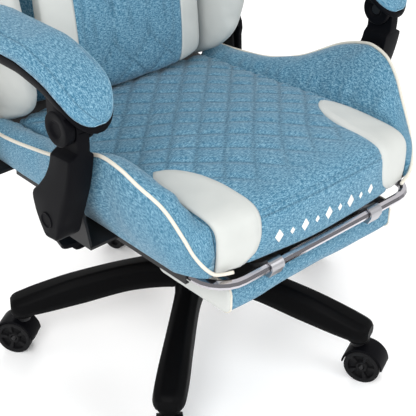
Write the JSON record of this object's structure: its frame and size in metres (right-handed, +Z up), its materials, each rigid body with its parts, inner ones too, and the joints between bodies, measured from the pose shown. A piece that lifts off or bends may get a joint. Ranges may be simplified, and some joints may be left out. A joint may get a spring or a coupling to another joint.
{
  "type": "gaming chair",
  "caption": "Racing-style gaming chair with a reclining back, linked armrests, pull-out footrest and a castored star base with a gas lift.",
  "frame": {"origin": "on the floor, under the middle of the chair's outer box", "axes": "+Z up, the sitter faces -Y, the sitter's right is -X"},
  "size_m": [0.673, 0.6896, 1.2032],
  "materials": {
    "blue_fabric": "heathered woven fabric",
    "white_leatherette": "smooth coated leatherette",
    "black_plastic": "satin moulded",
    "castor_tread": "satin moulded",
    "black_steel": "black powder coat",
    "chrome": "polished",
    "plywood": "raw board"
  },
  "bodies": {
    "base": {"star_base": "black_plastic", "gas_column": "black_steel", "column_cover_lower": "black_plastic"},
    "castor_1": {"castor_body_1": "black_plastic"},
    "wheel_1_a": {"castor_wheel_1_a": "castor_tread"},
    "wheel_1_b": {"castor_wheel_1_b": "castor_tread"},
    "castor_2": {"castor_body_2": "black_plastic"},
    "wheel_2_a": {"castor_wheel_2_a": "castor_tread"},
    "wheel_2_b": {"castor_wheel_2_b": "castor_tread"},
    "castor_3": {"castor_body_3": "black_plastic"},
    "wheel_3_a": {"castor_wheel_3_a": "castor_tread"},
    "wheel_3_b": {"castor_wheel_3_b": "castor_tread"},
    "castor_4": {"castor_body_4": "black_plastic"},
    "wheel_4_a": {"castor_wheel_4_a": "castor_tread"},
    "wheel_4_b": {"castor_wheel_4_b": "castor_tread"},
    "castor_5": {"castor_body_5": "black_plastic"},
    "wheel_5_a": {"castor_wheel_5_a": "castor_tread"},
    "wheel_5_b": {"castor_wheel_5_b": "castor_tread"},
    "column_sleeve": {"column_cover_middle": "black_plastic"},
    "lift": {"gas_cylinder": "chrome"},
    "mechanism": {"tilt_housing": "black_steel", "column_cover_upper": "black_plastic", "tilt_pin": "chrome", "tilt_spring": "black_steel"},
    "tension_knob": {"tension_knob": "black_plastic"},
    "height_lever": {"height_lever": "black_plastic"},
    "seat": {"seat_plate": "black_steel", "seat_board": "plywood", "seat_frame": "black_steel", "seat_cushion": "blue_fabric", "seat_bolster_right": "blue_fabric", "seat_bolster_left": "blue_fabric", "footrest_guide_right": "black_steel", "footrest_guide_left": "black_steel", "recline_bracket_right": "black_steel", "recline_bracket_left": "black_steel", "recline_cover_right": "black_plastic", "recline_cover_left": "black_plastic", "arm_bracket_right": "black_steel", "arm_bracket_left": "black_steel"},
    "footrest": {"footrest_frame": "chrome"},
    "footrest_pad": {"footrest_pad": "blue_fabric", "footrest_board": "black_steel"},
    "backrest": {"back_frame": "black_steel", "back_hinge_plate_right": "black_steel", "back_hinge_plate_left": "black_steel", "back_cushion": "blue_fabric", "back_wing_right": "white_leatherette", "back_wing_left": "white_leatherette", "back_shell": "black_plastic", "lumbar_pillow": "blue_fabric", "head_pillow": "blue_fabric"},
    "recline_lever": {"recline_lever": "black_plastic"},
    "arm_support_right": {"arm_support_right": "black_plastic"},
    "armrest_right": {"arm_tray_right": "black_plastic", "arm_pad_right": "blue_fabric"},
    "arm_support_left": {"arm_support_left": "black_plastic"},
    "armrest_left": {"arm_tray_left": "black_plastic", "arm_pad_left": "blue_fabric"}
  },
  "joints": [
    {"name": "castor_swivel_1", "type": "hinge", "parent": "base", "child": "castor_1", "pos_m": [0.29098, 0.00143, 0.06], "axis": [0, 0, 1], "continuous": true},
    {"name": "wheel_roll_1_a", "type": "hinge", "parent": "castor_1", "child": "wheel_1_a", "pos_m": [0.30493, 0.00261, 0.03], "axis": [0.0837, -0.9965, 0], "continuous": true},
    {"name": "wheel_roll_1_b", "type": "hinge", "parent": "castor_1", "child": "wheel_1_b", "pos_m": [0.30493, 0.00261, 0.03], "axis": [0.0837, -0.9965, 0], "continuous": true},
    {"name": "castor_swivel_2", "type": "hinge", "parent": "base", "child": "castor_2", "pos_m": [0.06668, 0.26128, 0.06], "axis": [0, 0, 1], "continuous": true},
    {"name": "wheel_roll_2_a", "type": "hinge", "parent": "castor_2", "child": "wheel_2_a", "pos_m": [0.06502, 0.27519, 0.03], "axis": [0.993, 0.1184, 0], "continuous": true},
    {"name": "wheel_roll_2_b", "type": "hinge", "parent": "castor_2", "child": "wheel_2_b", "pos_m": [0.06502, 0.27519, 0.03], "axis": [0.993, 0.1184, 0], "continuous": true},
    {"name": "castor_swivel_3", "type": "hinge", "parent": "base", "child": "castor_3", "pos_m": [-0.24977, 0.12826, 0.06], "axis": [0, 0, 1], "continuous": true},
    {"name": "wheel_roll_3_a", "type": "hinge", "parent": "castor_3", "child": "wheel_3_a", "pos_m": [-0.25755, 0.1399, 0.03], "axis": [0.831, 0.5563, 0], "continuous": true},
    {"name": "wheel_roll_3_b", "type": "hinge", "parent": "castor_3", "child": "wheel_3_b", "pos_m": [-0.25755, 0.1399, 0.03], "axis": [0.831, 0.5563, 0], "continuous": true},
    {"name": "castor_swivel_4", "type": "hinge", "parent": "base", "child": "castor_4", "pos_m": [-0.22104, -0.2138, 0.06], "axis": [0, 0, 1], "continuous": true},
    {"name": "wheel_roll_4_a", "type": "hinge", "parent": "castor_4", "child": "wheel_4_a", "pos_m": [-0.22951, -0.22495, 0.03], "axis": [-0.7965, 0.6046, 0], "continuous": true},
    {"name": "wheel_roll_4_b", "type": "hinge", "parent": "castor_4", "child": "wheel_4_b", "pos_m": [-0.22951, -0.22495, 0.03], "axis": [-0.7965, 0.6046, 0], "continuous": true},
    {"name": "castor_swivel_5", "type": "hinge", "parent": "base", "child": "castor_5", "pos_m": [0.11316, -0.29218, 0.06], "axis": [0, 0, 1], "continuous": true},
    {"name": "wheel_roll_5_a", "type": "hinge", "parent": "castor_5", "child": "wheel_5_a", "pos_m": [0.11858, -0.30509, 0.03], "axis": [-0.9219, -0.3875, 0], "continuous": true},
    {"name": "wheel_roll_5_b", "type": "hinge", "parent": "castor_5", "child": "wheel_5_b", "pos_m": [0.11858, -0.30509, 0.03], "axis": [-0.9219, -0.3875, 0], "continuous": true},
    {"name": "column_lift", "type": "slide", "parent": "base", "child": "lift", "axis": [0, 0, 1], "range_m": [0, 0.07]},
    {"name": "sleeve_slide", "type": "slide", "parent": "base", "child": "column_sleeve", "axis": [0, 0, 1], "range_m": [0, 0.035]},
    {"name": "seat_swivel", "type": "hinge", "parent": "lift", "child": "mechanism", "pos_m": [0, -0.023, 0.3], "axis": [0, 0, 1], "continuous": true},
    {"name": "knob_turn", "type": "hinge", "parent": "mechanism", "child": "tension_knob", "pos_m": [0, -0.0874, 0.24], "axis": [0, 0, 1], "range_deg": [0, 1080]},
    {"name": "height_lever_lift", "type": "hinge", "parent": "mechanism", "child": "height_lever", "pos_m": [-0.09, -0.037, 0.298], "axis": [0, 1, 0], "range_deg": [0, 5], "stiffness_Nm_per_rad": 1, "springref_deg": -20.05},
    {"name": "seat_rock", "type": "hinge", "parent": "mechanism", "child": "seat", "pos_m": [0, -0.083, 0.315], "axis": [-1, 0, 0], "range_deg": [0, 12], "stiffness_Nm_per_rad": 150, "springref_deg": -28.65},
    {"name": "footrest_slide", "type": "slide", "parent": "seat", "child": "footrest", "axis": [0, -1, 0], "range_m": [0, 0.24]},
    {"name": "footrest_flip", "type": "hinge", "parent": "footrest", "child": "footrest_pad", "pos_m": [0, -0.303, 0.3213], "axis": [-1, 0, 0], "range_deg": [0, 180]},
    {"name": "back_recline", "type": "hinge", "parent": "seat", "child": "backrest", "pos_m": [0, 0.212, 0.42], "axis": [-1, 0, 0], "range_deg": [0, 40]},
    {"name": "recline_lever_lift", "type": "hinge", "parent": "seat", "child": "recline_lever", "pos_m": [0, 0.212, 0.42], "axis": [-1, 0, 0], "range_deg": [0, 25], "stiffness_Nm_per_rad": 0.3, "springref_deg": -28.65},
    {"name": "arm_support_swing_right", "type": "hinge", "parent": "seat", "child": "arm_support_right", "pos_m": [0, -0.084, 0.3835], "axis": [-1, 0, 0], "range_deg": [0, 40]},
    {"name": "armrest_level_right", "type": "hinge", "parent": "arm_support_right", "child": "armrest_right", "pos_m": [0, -0.134, 0.5425], "axis": [-1, 0, 0], "range_deg": [-40, 0]},
    {"name": "arm_support_swing_left", "type": "hinge", "parent": "seat", "child": "arm_support_left", "pos_m": [0, -0.084, 0.3835], "axis": [-1, 0, 0], "range_deg": [0, 40]},
    {"name": "armrest_level_left", "type": "hinge", "parent": "arm_support_left", "child": "armrest_left", "pos_m": [0, -0.134, 0.5425], "axis": [-1, 0, 0], "range_deg": [-40, 0]}
  ],
  "couplings": [
    {"joint": "sleeve_slide", "follows": "column_lift", "ratio": 0.5},
    {"joint": "arm_support_swing_right", "follows": "back_recline", "ratio": 1},
    {"joint": "armrest_level_right", "follows": "back_recline", "ratio": -1},
    {"joint": "arm_support_swing_left", "follows": "back_recline", "ratio": 1},
    {"joint": "armrest_level_left", "follows": "back_recline", "ratio": -1}
  ]
}
